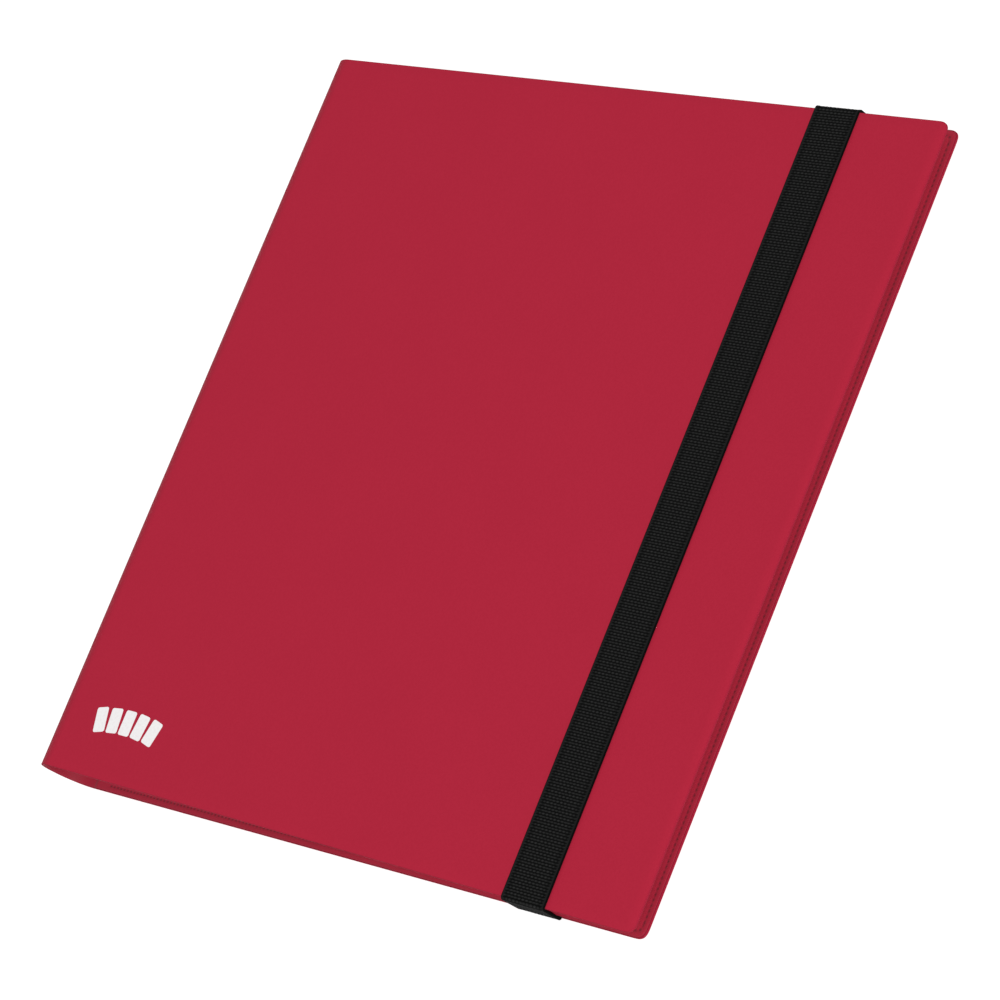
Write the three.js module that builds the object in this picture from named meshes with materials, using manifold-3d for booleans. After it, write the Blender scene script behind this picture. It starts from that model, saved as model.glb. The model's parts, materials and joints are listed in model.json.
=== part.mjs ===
// Trading card binder: a square folio with soft covers, 20 side-loading pocket pages bound
// into a rounded spine, and an elastic strap that holds the front cover shut.
//
// The binder lies closed on its back cover. +X runs from the spine to the free edge, +Y to the
// head of the page, +Z up through the front cover. All lengths are in millimetres. Inside the
// group called `fromSpine`, x counts from the outermost line of the spine and z from the table.
import * as THREE from 'three';
import { mergeVertices } from 'three/addons/utils/BufferGeometryUtils.js';
import Module from 'manifold-3d';

const wasm = await Module();
wasm.setup();

// ---- overall size ---------------------------------------------------------------------------
const WIDTH = 308;            // spine to free edge
const HEIGHT = 303;           // head to tail of the covers
const SPINE_THICKNESS = 25;   // closed thickness where the covers leave the spine
const FREE_THICKNESS = 7.5;   // closed thickness at the free edge, under the strap
const BACK_FOLD_RADIUS = 12;  // outside radius from the back cover into the spine
const FRONT_FOLD_RADIUS = 10.5;
const COVER_CORNER_RADIUS = 3.5;

// ---- cover build-up -------------------------------------------------------------------------
const SKIN = 0.6;             // outer skin
const BOARD = 0.4;            // stiffening sheet
const LINER = 0.3;            // inside lining
const LAYER_GAP = 0.1;
const RIM_WIDTH = 4.5;        // band along the edges where skin and liner are welded together
const LINER_INSET = 0.4;
const BOARD_PLAY = 0.3;       // between the board and the welded rim
const FOLD = 1.0;             // skin and liner together, at the folds
const PIECE_GAP = 0.15;       // between neighbouring pieces of one sheet

// ---- pages ----------------------------------------------------------------------------------
const PAGE_COUNT = 20;
const PAGE_WIDTH = 287;       // from the binding to the free edge of the page
const PAGE_HEIGHT = 289;
const PAGE_THICKNESS = 0.18;
const PAGE_CORNER_RADIUS = 3;
const FIRST_ROOT_X = 9;       // the outermost pages leave the binding here
const ROOT_STEP_X = 0.3;      // each page nearer the middle leaves it this much further out
const FIRST_ROOT_Z = 2.7;
const LAST_ROOT_Z = 22.4;
const FREE_PITCH = 0.235;     // from page to page at their free edges
const FREE_CLEARANCE = 0.15;  // between the back liner and the first page, at its free edge

// ---- binding --------------------------------------------------------------------------------
const BINDING_TO_FOLD = 0.4;
const BINDING_TO_PAGE = 0.4;
const BINDING_TO_SPINE = 0.5;

// ---- strap ----------------------------------------------------------------------------------
const STRAP_WIDTH = 20;
const STRAP_THICKNESS = 1.1;
const STRAP_FROM_SPINE = 248.75;
const STRAP_TO_COVER = 0.3;
const STRAP_TO_EDGE = 0.15;
const STRAP_LOWEST = 0.25;
const STRAP_BEND_RADIUS = 1.8;
const STRAP_END_LENGTH = 12;  // the length caught between the skin and the liner
const STRAP_NOTCH_PLAY = 0.4;

// ---- worked out from the above --------------------------------------------------------------
const COVER_THICKNESS = SKIN + BOARD + LINER + 2 * LAYER_GAP;
const BOARD_Z = SKIN + LAYER_GAP;
const LINER_Z = BOARD_Z + BOARD + LAYER_GAP;
const COVER_TILT = Math.atan((SPINE_THICKNESS - FREE_THICKNESS) / (WIDTH - FRONT_FOLD_RADIUS));
const FRONT_FOLD_Z = SPINE_THICKNESS - FRONT_FOLD_RADIUS / Math.cos(COVER_TILT);
const FRONT_START_X = FRONT_FOLD_RADIUS * (1 + Math.sin(COVER_TILT));
const FRONT_START_Z = FRONT_FOLD_Z + FRONT_FOLD_RADIUS * Math.cos(COVER_TILT);
const BACK_LENGTH = WIDTH - BACK_FOLD_RADIUS;
const FRONT_LENGTH = (WIDTH - FRONT_START_X) / Math.cos(COVER_TILT);
const ROOT_PITCH_Z = (LAST_ROOT_Z - FIRST_ROOT_Z) / (PAGE_COUNT - 1);

// ---- colours --------------------------------------------------------------------------------
const material = (color, roughness) =>
  new THREE.MeshStandardMaterial({ color, roughness, metalness: 0 });
const skinMaterial = material(0xad283d, 0.55);
const linerMaterial = material(0x93232f, 0.8);
const boardMaterial = material(0x3a3a3c, 0.7);
const bindingMaterial = material(0x1c1c1e, 0.6);
const pageMaterial = material(0x26262a, 0.25);
const strapMaterial = material(0x141414, 0.9);

// ---- geometry helpers -----------------------------------------------------------------------
function toSolid(geometry) {
  const bare = geometry.clone();
  bare.deleteAttribute('normal');
  bare.deleteAttribute('uv');
  const merged = mergeVertices(bare, 1e-4);
  return new wasm.Manifold(new wasm.Mesh({
    numProp: 3,
    vertProperties: new Float32Array(merged.attributes.position.array),
    triVerts: new Uint32Array(merged.index.array),
  }));
}

function toGeometry(solid) {
  const { vertProperties, triVerts, numProp } = solid.getMesh();
  const points = new Float32Array((vertProperties.length / numProp) * 3);
  for (let i = 0; i < points.length / 3; i += 1) {
    points.set(vertProperties.subarray(i * numProp, i * numProp + 3), i * 3);
  }
  const geometry = new THREE.BufferGeometry();
  geometry.setAttribute('position', new THREE.BufferAttribute(points, 3));
  geometry.setIndex(new THREE.BufferAttribute(new Uint32Array(triVerts), 1));
  geometry.computeVertexNormals();
  return geometry;
}

function cut(geometry, ...tools) {
  return toGeometry(tools.reduce((solid, tool) => solid.subtract(toSolid(tool)), toSolid(geometry)));
}

// A leaf lies flat with its bound edge on x = 0, and only its two free corners are rounded.
function leafShape(x0, x1, height, radius) {
  const half = height / 2;
  const shape = new THREE.Shape();
  shape.moveTo(x0, -half);
  shape.lineTo(x1 - radius, -half);
  shape.absarc(x1 - radius, -half + radius, radius, -Math.PI / 2, 0, false);
  shape.lineTo(x1, half - radius);
  shape.absarc(x1 - radius, half - radius, radius, 0, Math.PI / 2, false);
  shape.lineTo(x0, half);
  shape.closePath();
  return shape;
}

function slab(shape, z0, z1, curveSegments = 8) {
  const options = { depth: z1 - z0, bevelEnabled: false, curveSegments };
  return new THREE.ExtrudeGeometry(shape, options).translate(0, 0, z0);
}

// A section drawn in x and z, drawn out along the whole height of the binder.
function alongHeight(section, height, curveSegments = 12) {
  const options = { depth: height, bevelEnabled: false, curveSegments };
  return new THREE.ExtrudeGeometry(section, options)
    .rotateX(Math.PI / 2)
    .translate(0, height / 2, 0);
}

function box(x0, x1, y0, y1, z0, z1) {
  return new THREE.BoxGeometry(x1 - x0, y1 - y0, z1 - z0)
    .translate((x0 + x1) / 2, (y0 + y1) / 2, (z0 + z1) / 2);
}

function piece(name, geometry, surface) {
  const mesh = new THREE.Mesh(geometry, surface);
  mesh.name = name;
  return mesh;
}

// ---- covers ---------------------------------------------------------------------------------
// Each cover is drawn lying on its outer face, from its fold at x = 0 to its free edge.
function strapNotches(strapStart, depth, z0, z1) {
  const x0 = strapStart - STRAP_NOTCH_PLAY;
  const x1 = strapStart + STRAP_WIDTH + STRAP_NOTCH_PLAY;
  const edge = HEIGHT / 2;
  const over = 5;
  return [
    box(x0, x1, edge - depth, edge + over, z0, z1),
    box(x0, x1, -edge - over, -edge + depth, z0, z1),
  ];
}

function skinGeometry(length, notches) {
  const rimTop = LINER_Z - LAYER_GAP;
  const outline = leafShape(PIECE_GAP, length, HEIGHT, COVER_CORNER_RADIUS);
  const inside = leafShape(
    -RIM_WIDTH, length - RIM_WIDTH, HEIGHT - 2 * RIM_WIDTH, COVER_CORNER_RADIUS / 2);
  return cut(slab(outline, 0, rimTop), slab(inside, SKIN, rimTop + 1), ...notches);
}

function boardGeometry(length, notches) {
  const inset = RIM_WIDTH + BOARD_PLAY;
  const outline = leafShape(
    PIECE_GAP, length - inset, HEIGHT - 2 * inset, COVER_CORNER_RADIUS / 2);
  const sheet = slab(outline, BOARD_Z, BOARD_Z + BOARD);
  return notches.length ? cut(sheet, ...notches) : sheet;
}

function linerGeometry(length) {
  const outline = leafShape(
    PIECE_GAP, length - LINER_INSET, HEIGHT - 2 * LINER_INSET, COVER_CORNER_RADIUS - LINER_INSET);
  return slab(outline, LINER_Z, LINER_Z + LINER);
}

function coverPieces(side, length, strapStart) {
  const hasStrap = strapStart !== null;
  const notchDepth = STRAP_END_LENGTH + STRAP_NOTCH_PLAY;
  const notches = hasStrap ? strapNotches(strapStart, notchDepth, SKIN, COVER_THICKNESS) : [];
  return [
    piece(`${side}_skin`, skinGeometry(length, notches), skinMaterial),
    piece(`${side}_board`, boardGeometry(length, notches), boardMaterial),
    piece(`${side}_liner`, linerGeometry(length), linerMaterial),
  ];
}

// ---- spine ----------------------------------------------------------------------------------
// A fold is part of a tube wall about (radius, z), between two angles measured from +X.
function foldGeometry(radius, z, from, to) {
  const trim = PIECE_GAP / radius;
  const section = new THREE.Shape();
  section.absarc(radius, z, radius, from + trim, to - trim, false);
  section.absarc(radius, z, radius - FOLD, to - trim, from + trim, true);
  section.closePath();
  return alongHeight(section, HEIGHT);
}

function spineSkinGeometry() {
  return box(0, FOLD, -HEIGHT / 2, HEIGHT / 2,
    BACK_FOLD_RADIUS + PIECE_GAP, FRONT_FOLD_Z - PIECE_GAP);
}

// The binding fills the hollow of the spine. Its outer side follows the folds, and its page
// side is a low roof, so the stubs of the middle pages stand furthest out.
function bindingGeometry() {
  const backRadius = BACK_FOLD_RADIUS - FOLD - BINDING_TO_FOLD;
  const frontRadius = FRONT_FOLD_RADIUS - FOLD - BINDING_TO_FOLD;
  const faceX = FIRST_ROOT_X - BINDING_TO_PAGE;
  const ridgeX = faceX + ROOT_STEP_X * (PAGE_COUNT / 2 - 1);
  const backStart = Math.acos((faceX - BACK_FOLD_RADIUS) / backRadius);
  const frontEnd = Math.acos((faceX - FRONT_FOLD_RADIUS) / frontRadius);
  const flatX = FOLD + BINDING_TO_SPINE;
  const backFlat = Math.acos((flatX - BACK_FOLD_RADIUS) / backRadius);
  const frontFlat = Math.acos((flatX - FRONT_FOLD_RADIUS) / frontRadius);
  const section = new THREE.Shape();
  section.moveTo(ridgeX, (FIRST_ROOT_Z + LAST_ROOT_Z) / 2);
  section.absarc(FRONT_FOLD_RADIUS, FRONT_FOLD_Z, frontRadius, frontEnd, frontFlat, false);
  section.absarc(BACK_FOLD_RADIUS, BACK_FOLD_RADIUS, backRadius, -backFlat, -backStart, false);
  section.closePath();
  return alongHeight(section, PAGE_HEIGHT);
}

// ---- pages ----------------------------------------------------------------------------------
function pageRoot(number) {
  const fromOutside = Math.min(number - 1, PAGE_COUNT - number);
  return {
    x: FIRST_ROOT_X + ROOT_STEP_X * fromOutside,
    z: FIRST_ROOT_Z + ROOT_PITCH_Z * (number - 1),
  };
}

function pageFreeZ(number) {
  return COVER_THICKNESS + FREE_CLEARANCE + FREE_PITCH * (number - 0.5);
}

function page(number) {
  const root = pageRoot(number);
  const outline = leafShape(0, PAGE_WIDTH, PAGE_HEIGHT, PAGE_CORNER_RADIUS);
  const sheet = slab(outline, -PAGE_THICKNESS / 2, PAGE_THICKNESS / 2, 4);
  const mesh = piece(`page_${String(number).padStart(2, '0')}`, sheet, pageMaterial);
  mesh.position.set(root.x, 0, root.z);
  mesh.rotation.y = Math.asin((root.z - pageFreeZ(number)) / PAGE_WIDTH);
  return mesh;
}

// ---- strap ----------------------------------------------------------------------------------
// The band is a flat U: over the front cover and down past its head and tail edges. It is drawn
// square to the front cover, with z = 0 on the cover's outer face.
function strapGeometry(drop) {
  const inner = HEIGHT / 2 + STRAP_TO_EDGE;
  const outer = inner + STRAP_THICKNESS;
  const under = STRAP_TO_COVER;
  const top = under + STRAP_THICKNESS;
  const bend = STRAP_BEND_RADIUS;
  const innerBend = bend - STRAP_THICKNESS;
  const section = new THREE.Shape();
  section.moveTo(-outer, -drop);
  section.lineTo(-outer, top - bend);
  section.absarc(-outer + bend, top - bend, bend, Math.PI, Math.PI / 2, true);
  section.lineTo(outer - bend, top);
  section.absarc(outer - bend, top - bend, bend, Math.PI / 2, 0, true);
  section.lineTo(outer, -drop);
  section.lineTo(inner, -drop);
  section.lineTo(inner, under - innerBend);
  section.absarc(inner - innerBend, under - innerBend, innerBend, 0, Math.PI / 2, false);
  section.lineTo(-inner + innerBend, under);
  section.absarc(-inner + innerBend, under - innerBend, innerBend, Math.PI / 2, Math.PI, false);
  section.closePath();
  const options = { depth: STRAP_WIDTH, bevelEnabled: false, curveSegments: 6 };
  return new THREE.ExtrudeGeometry(section, options)
    .applyMatrix4(new THREE.Matrix4().set(0, 0, 1, 0, 1, 0, 0, 0, 0, 1, 0, 0, 0, 0, 0, 1));
}

function strapBand() {
  const outerFaceZ = FRONT_START_Z - (STRAP_FROM_SPINE - FRONT_START_X) * Math.tan(COVER_TILT);
  const tiltDrop = STRAP_WIDTH * Math.sin(COVER_TILT);
  const drop = (outerFaceZ - STRAP_LOWEST - tiltDrop) / Math.cos(COVER_TILT);
  const mesh = piece('strap_band', strapGeometry(drop), strapMaterial);
  mesh.position.set(STRAP_FROM_SPINE, 0, outerFaceZ);
  mesh.rotation.y = COVER_TILT;
  return mesh;
}

function strapEnd(name, side) {
  const edge = side * HEIGHT / 2;
  const inside = side * (HEIGHT / 2 - STRAP_END_LENGTH);
  return piece(name, box(STRAP_FROM_SPINE, STRAP_FROM_SPINE + STRAP_WIDTH,
    Math.min(edge, inside), Math.max(edge, inside), BOARD_Z, BOARD_Z + BOARD), strapMaterial);
}

// ---- assembly -------------------------------------------------------------------------------
const backCover = new THREE.Group();
backCover.position.x = BACK_FOLD_RADIUS;
backCover.add(...coverPieces('back', BACK_LENGTH, STRAP_FROM_SPINE - BACK_FOLD_RADIUS));

// The front cover is the same build turned over, so its outer face looks up along the tilt.
const frontCover = new THREE.Group();
frontCover.position.set(FRONT_START_X, 0, FRONT_START_Z);
frontCover.rotation.y = COVER_TILT;
const turnedOver = new THREE.Group();
turnedOver.rotation.x = Math.PI;
turnedOver.add(...coverPieces('front', FRONT_LENGTH, null));
frontCover.add(turnedOver);

const QUARTER = Math.PI / 2;
const fromSpine = new THREE.Group();
fromSpine.position.x = -WIDTH / 2;
fromSpine.add(backCover, frontCover);
fromSpine.add(piece('back_fold', foldGeometry(
  BACK_FOLD_RADIUS, BACK_FOLD_RADIUS, 2 * QUARTER, 3 * QUARTER), skinMaterial));
fromSpine.add(piece('front_fold', foldGeometry(
  FRONT_FOLD_RADIUS, FRONT_FOLD_Z, QUARTER - COVER_TILT, 2 * QUARTER), skinMaterial));
fromSpine.add(piece('spine_skin', spineSkinGeometry(), skinMaterial));
fromSpine.add(piece('binding_block', bindingGeometry(), bindingMaterial));
for (let number = 1; number <= PAGE_COUNT; number += 1) {
  fromSpine.add(page(number));
}
fromSpine.add(strapBand());
fromSpine.add(strapEnd('strap_end_head', 1), strapEnd('strap_end_tail', -1));

const binder = new THREE.Group();
binder.add(fromSpine);

export default binder;
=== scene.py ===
"""Looks of a trading card binder: red soft covers, 20 pocket pages and a black elastic strap.

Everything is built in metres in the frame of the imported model. A cover is drawn unrolled: s runs
along its outer face from the middle of the spine, y along the spine, and depth inwards from the
outer face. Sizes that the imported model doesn't state are named below in millimetres.
"""

import json
import math

import bmesh
import bpy
import numpy as np
from mathutils import Matrix, Vector


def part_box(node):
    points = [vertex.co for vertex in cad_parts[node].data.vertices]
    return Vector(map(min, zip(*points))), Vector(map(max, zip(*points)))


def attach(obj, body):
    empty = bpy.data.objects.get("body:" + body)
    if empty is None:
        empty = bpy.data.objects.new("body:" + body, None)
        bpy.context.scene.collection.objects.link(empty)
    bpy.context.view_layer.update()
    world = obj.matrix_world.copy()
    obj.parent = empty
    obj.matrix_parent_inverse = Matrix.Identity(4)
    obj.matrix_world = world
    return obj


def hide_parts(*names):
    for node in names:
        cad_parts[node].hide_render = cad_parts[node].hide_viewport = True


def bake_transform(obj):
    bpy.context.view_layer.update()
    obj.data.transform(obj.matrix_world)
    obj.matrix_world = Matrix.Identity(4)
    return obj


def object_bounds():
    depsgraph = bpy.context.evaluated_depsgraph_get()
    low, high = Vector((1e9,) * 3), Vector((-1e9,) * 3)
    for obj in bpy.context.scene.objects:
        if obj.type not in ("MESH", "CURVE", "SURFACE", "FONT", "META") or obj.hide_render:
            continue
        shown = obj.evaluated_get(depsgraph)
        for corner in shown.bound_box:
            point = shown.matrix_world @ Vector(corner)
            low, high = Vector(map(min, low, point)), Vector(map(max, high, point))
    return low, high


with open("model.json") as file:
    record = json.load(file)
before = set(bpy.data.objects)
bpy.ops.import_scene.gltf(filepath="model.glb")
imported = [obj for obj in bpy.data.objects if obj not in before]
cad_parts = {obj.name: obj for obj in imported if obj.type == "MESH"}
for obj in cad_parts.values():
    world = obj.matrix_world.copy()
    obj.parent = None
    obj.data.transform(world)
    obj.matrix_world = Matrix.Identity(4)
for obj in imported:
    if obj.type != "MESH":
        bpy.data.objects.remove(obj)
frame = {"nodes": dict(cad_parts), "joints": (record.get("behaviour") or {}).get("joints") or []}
cad_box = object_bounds()

MM = 0.001
JOINTS = {joint["name"]: joint for joint in frame["joints"]}
PAGE_NAMES = sorted(name for name in frame["nodes"] if name.startswith("page_"))

# ---- places taken from the frame ------------------------------------------------------------
SPINE_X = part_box("spine_skin")[0].x
FREE_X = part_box("back_skin")[1].x
HALF_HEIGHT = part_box("back_skin")[1].y
SPINE_MID_Z = (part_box("spine_skin")[0].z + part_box("spine_skin")[1].z) / 2
BACK_FOLD_X = (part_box("back_fold")[1].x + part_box("back_skin")[0].x) / 2
BACK_FOLD_Z = (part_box("back_fold")[1].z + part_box("spine_skin")[0].z) / 2
FRONT_FOLD_Z = (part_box("front_fold")[0].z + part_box("spine_skin")[1].z) / 2
BACK_RADIUS = BACK_FOLD_X - SPINE_X
FRONT_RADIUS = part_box("front_fold")[1].z - FRONT_FOLD_Z
TILT = math.radians(JOINTS["cover_fold"]["range_deg"][1] - 90)
STRAP_LOW, STRAP_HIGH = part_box("strap_end_head")
STRAP_X = (STRAP_LOW.x + STRAP_HIGH.x) / 2
STRAP_WIDTH = STRAP_HIGH.x - STRAP_LOW.x

# ---- covers ---------------------------------------------------------------------------------
CORNER_REACH = 6 * MM         # how far along each edge the rounding of a corner starts
CORNER_BEND = 0.54            # below 1 the corner is tighter than a quarter circle of that reach
SKIN_DEPTH = 0.62 * MM        # the outer skin by itself
RIM_DEPTH = 1.08 * MM         # the skin with its welded rim
RIM_WIDTH = 4.5 * MM
LINING_GAP = 0.04 * MM
LINING_THICKNESS = 0.34 * MM
ARRIS = 0.22 * MM             # rounding of the cut edges
LINING_INSET = 0.3 * MM
STEP_LENGTH = 2 * MM          # over which the layers thin down towards a fold
WELD_INSET = 2.5 * MM         # the line of weld points, from the edge of the cover
WELD_WIDTH = 1.1 * MM
WELD_DEPTH = 0.24 * MM
WELD_START = 9 * MM           # from the fold to the first weld point
BOARD_STEP = 0.05 * MM        # the lining stands up by this where it runs over the board
MOUTH_PLAY = 0.4 * MM         # between the strap and the ends of the opening it comes out of
GRAIN_PITCH = 0.7 * MM
LINING_THREAD = 0.6 * MM
FOLD_SHADE_START = 10 * MM    # painted shade darkens the lining in the fold, measured from mid-spine
FOLD_SHADE_END = 24 * MM
SKIN_FOLD_STEP = 0.7 * MM     # between stations of the mesh: round the fold, out on the flat
SKIN_FLAT_STEP = 6 * MM       # and along the spine
SKIN_ALONG_STEP = 8 * MM
LINING_FOLD_STEP = 1.4 * MM
LINING_STEP = 4 * MM
FINE_PER_COARSE = 8           # steps of the lining's outline to each step of its grid
POINT_EVERY = 4               # fine steps from one weld point to the next

# ---- strap ----------------------------------------------------------------------------------
STRAP_THICKNESS = 1.1 * MM
STRAP_TO_EDGE = 0.15 * MM
STRAP_TO_COVER = 0.06 * MM
STRAP_BEND = 1.05 * MM        # radius of its centre line over the edge of the front cover
STRAP_TUCK = 3 * MM           # how far it runs in under the lining
SEAM_Z = 0.87 * MM
SEAM_THICKNESS = 0.4 * MM
SEAM_PRESS = 0.25             # how much of the relief is left where the seam squeezes the band
LEAN_START = 2 * MM           # above this height it starts to take on the slope of the cover
RIB_PITCH = 1.05 * MM
DASH_PITCH = 1.65 * MM
PIT_DEPTH = 0.2 * MM
EDGE_ROUND = 0.4 * MM
SELVEDGE = 1.5 * MM
SELVEDGE_MIDDLE = 0.8 * MM    # from the edge to the crest of the selvedge
SELVEDGE_SPREAD = 0.35 * MM
SELVEDGE_RISE = 0.05 * MM
SELVEDGE_TONE = 0.48          # 1 as pale as a rib, 0 as dark as a pit
GROOVE_INSET = 2.1 * MM       # groove between the selvedge and the ribs, darkened with painted shade
GROOVE_WIDTH = 0.28 * MM
CORD_PITCH = 1.95 * MM        # faint lengthwise cords
ROWS_PER_RIB = 4              # rows of points to each cross rib
EDGE_SHADE = 0.9              # painted shade on the band's edges: 0 as pale as a rib, 1 as dark as a pit
# painted shade on the back of the band, on the same scale
BACK_SHADE = 0.3
LEG_SHADE = 0.7               # painted shade on the legs beside the covers, on the same scale

# ---- pages and binding ----------------------------------------------------------------------
COLUMNS, ROWS = 4, 3
HINGE_STRIP = 5 * MM
FLAT_FROM = 4 * MM            # where the evenly spaced part of a page's grid starts
CREASE_END = 1.4 * MM         # and where the fine part at the crease ends
SEAM = 1.4 * MM               # from the edge of a column to the pockets in it
MOUTH_WIDTH = 2.2 * MM        # bare core beside the open side of each pocket
RAMP = 0.35 * MM
SEAM_HALF = 0.05 * MM         # half the thickness of a page at a seam
POCKET_HALF = 0.1 * MM
PAGE_CORNER = 3 * MM
PAGE_EDGE = 0.05 * MM         # the outline itself, where the two films are pinched together
PAGE_TUCK = 0.9 * MM
CREASE = 1.0 * MM             # width of the welded crease where a page turns
STUB_TO_PAGE = 0.4 * MM
STUB_TO_FOLD = 1.4 * MM
STUB_GAP = 0.03 * MM
STUB_END = 0.15 * MM          # length of the rounding at the ends of a stub
EMBOSS_PITCH = 0.8 * MM
SEAM_HATCH = 0.9 * MM

# ---- printed mark ---------------------------------------------------------------------------
MARK_X, MARK_Y = 42 * MM, -128 * MM
CARD_WIDTH, CARD_HEIGHT = 5.8 * MM, 10 * MM
CARD_COUNT, CARD_STEP, CARD_LEAN = 5, 7.2 * MM, -14
CARD_ROUNDING, CARD_DROP = 0.9 * MM, 1.2 * MM
INK = 0.02 * MM

# ---- colours --------------------------------------------------------------------------------
RED = (0.410, 0.0155, 0.0405, 1)
RED_SHADE = (0.404, 0.0151, 0.0397, 1)
# painted shade for the pits of the cover's grain
RED_PIT_PAINTED_SHADE = (0.300, 0.006, 0.024, 1)
# painted shade for the cut edges
RED_EDGE_PAINTED_SHADE = (0.260, 0.008, 0.026, 1)
# wear and painted shade in patches along the edges
RED_EDGE_WEAR_AND_SHADE = (0.36, 0.012, 0.035, 1)
# painted shade for the skin's inward faces
RED_INSIDE_PAINTED_SHADE = (0.240, 0.0050, 0.0200, 1)
LINING = (0.400, 0.0095, 0.034, 1)
LINING_SHADE = (0.370, 0.0085, 0.031, 1)
# painted shade between the threads of the lining
LINING_PIT_PAINTED_SHADE = (0.220, 0.005, 0.018, 1)
# painted shade for the lining inside the fold
LINING_FOLD_PAINTED_SHADE = (0.240, 0.004, 0.018, 1)
WELD_RED = (0.120, 0.003, 0.011, 1)
STRAP_BLACK = (0.0370, 0.0375, 0.0370, 1)
STRAP_SHADE = (0.0240, 0.0245, 0.0240, 1)
# painted shade for the strap's pits, edges, back and legs
STRAP_PAINTED_SHADE = (0.0012, 0.0012, 0.0012, 1)
STRAP_LINT = (0.03, 0.03, 0.03, 1)
PAGE_BLACK = (0.008, 0.008, 0.009, 1)
PAGE_SHEEN = (0.013, 0.013, 0.015, 1)
PAGE_CORE = (0.006, 0.006, 0.006, 1)
SEAM_GREY = (0.035, 0.035, 0.038, 1)
INK_WHITE = (0.88, 0.87, 0.87, 1)
INK_THIN = (0.84, 0.79, 0.80, 1)

# ---- studio ---------------------------------------------------------------------------------
CAMERA_AZIMUTH, CAMERA_ELEVATION, CAMERA_ROLL = 74.217, 42.049, -57.13
CAMERA_AIM = (0.00808, -0.00939, 0.00067)
CAMERA_DISTANCE = 1.5018
CAMERA_LENS = 148.19
WORLD_STRENGTH = 0.38
KEY_DISTANCE = 8.0
KEY_SIZE = 0.5
KEY_POWER = 580.0
FLOOR_GLOW = 0.45
FLOOR_GAP = 0.02 * MM


# ---- meshes ---------------------------------------------------------------------------------
def smoothstep(low, high, value):
    share = np.clip((value - low) / (high - low), 0, 1)
    return share * share * (3 - 2 * share)


def make_piece(name, points, faces, material, attributes=None, sharp_deg=40):
    """A closed mesh object. Attributes are named arrays with one number or vector a point."""
    mesh = bpy.data.meshes.new(name)
    mesh.from_pydata([tuple(p) for p in points], [], faces)
    shell = bmesh.new()
    shell.from_mesh(mesh)
    bmesh.ops.recalc_face_normals(shell, faces=shell.faces)
    shell.to_mesh(mesh)
    shell.free()
    for key, values in (attributes or {}).items():
        values = np.asarray(values, np.float32)
        kind, field = ("FLOAT_VECTOR", "vector") if values.ndim == 2 else ("FLOAT", "value")
        mesh.attributes.new(key, kind, "POINT").data.foreach_set(field, values.ravel())
    mesh.shade_smooth()
    mesh.set_sharp_from_angle(angle=math.radians(sharp_deg))
    mesh.materials.append(material)
    obj = bpy.data.objects.new(name, mesh)
    bpy.context.scene.collection.objects.link(obj)
    return obj


def tube_faces(first, loops, n):
    """Faces of a tube of loops of n points each, closed at both ends."""
    faces = []
    for k in range(loops - 1):
        for j in range(n):
            a, b = first + k * n + j, first + k * n + (j + 1) % n
            faces.append([a, b, b + n, a + n])
    last = first + (loops - 1) * n
    return faces + [list(range(first, first + n)), list(range(last, last + n))]


class Sheet:
    """Section of half the cover: up or down the spine, round a fold, then out to the free edge."""

    def __init__(self, side, straight, radius, turn, flat):
        self.side = side
        self.straight = straight
        self.radius = radius
        self.turn = turn
        self.flat_start = straight + radius * turn
        self.length = self.flat_start + flat

    def place(self, s, depth):
        """x and z of points at s along the outer face and at a depth inside it."""
        angle = np.clip((s - self.straight) / self.radius, 0, self.turn)
        before = np.minimum(s, self.straight)
        after = np.maximum(s - self.flat_start, 0)
        across = self.radius * (1 - np.cos(angle)) + after * np.sin(angle) + depth * np.cos(angle)
        along = before + self.radius * np.sin(angle) + after * np.cos(angle) - depth * np.sin(angle)
        return SPINE_X + across, SPINE_MID_Z + self.side * along

    def points(self, s, y, depth):
        x, z = self.place(s, depth)
        return np.stack([x, y, z], 1)

    def flatness(self, s):
        """0 at the spine and round the fold, 1 out on the flat of the cover."""
        return smoothstep(self.flat_start, self.flat_start + STEP_LENGTH, s)


BACK = Sheet(-1, SPINE_MID_Z - BACK_FOLD_Z, BACK_RADIUS, math.pi / 2, FREE_X - BACK_FOLD_X)
FRONT_FLAT = (FREE_X - SPINE_X - FRONT_RADIUS * (1 + math.sin(TILT))) / math.cos(TILT)
FRONT = Sheet(1, FRONT_FOLD_Z - SPINE_MID_Z, FRONT_RADIUS, math.pi / 2 + TILT, FRONT_FLAT)
MOUTH_MIDDLE = BACK.flat_start + STRAP_X - BACK_FOLD_X
MOUTH_REACH = STRAP_WIDTH / 2 + MOUTH_PLAY


def outline(length, half, radius, s_steps, y_steps, arc_steps, inset):
    """(s, y) round the three open edges of a leaf: tail edge, free edge, then head edge."""
    around = np.linspace(-math.pi / 2, 0, arc_steps + 1)[1:-1]
    arc_s = length - radius + (radius - inset) * np.cos(around) ** CORNER_BEND
    arc_y = -(half - radius) - (radius - inset) * (-np.sin(around)) ** CORNER_BEND
    s = np.concatenate([s_steps, arc_s, np.full(len(y_steps), length - inset), arc_s[::-1],
                        s_steps[::-1]])
    y = np.concatenate([np.full(len(s_steps), -(half - inset)), arc_y, y_steps, -arc_y[::-1],
                        np.full(len(s_steps), half - inset)])
    return s, y


def stitch(ring, anchors):
    """Faces between a ring of points and the coarser edge of a grid. Points between two anchors
    join the same face, and neighbours that share an anchor make a fan."""
    faces = []
    start = 0
    for i in range(1, len(ring)):
        if anchors[i] is None:
            continue
        ends = [anchors[i]] if anchors[i] == anchors[start] else [anchors[i], anchors[start]]
        faces.append([ring[k] for k in range(start, i + 1)] + ends)
        start = i
    return faces


def stations(low, high, step):
    """Equally spaced stations, about a step apart, with both ends."""
    return np.linspace(low, high, max(2, round((high - low) / step) + 1))


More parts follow.
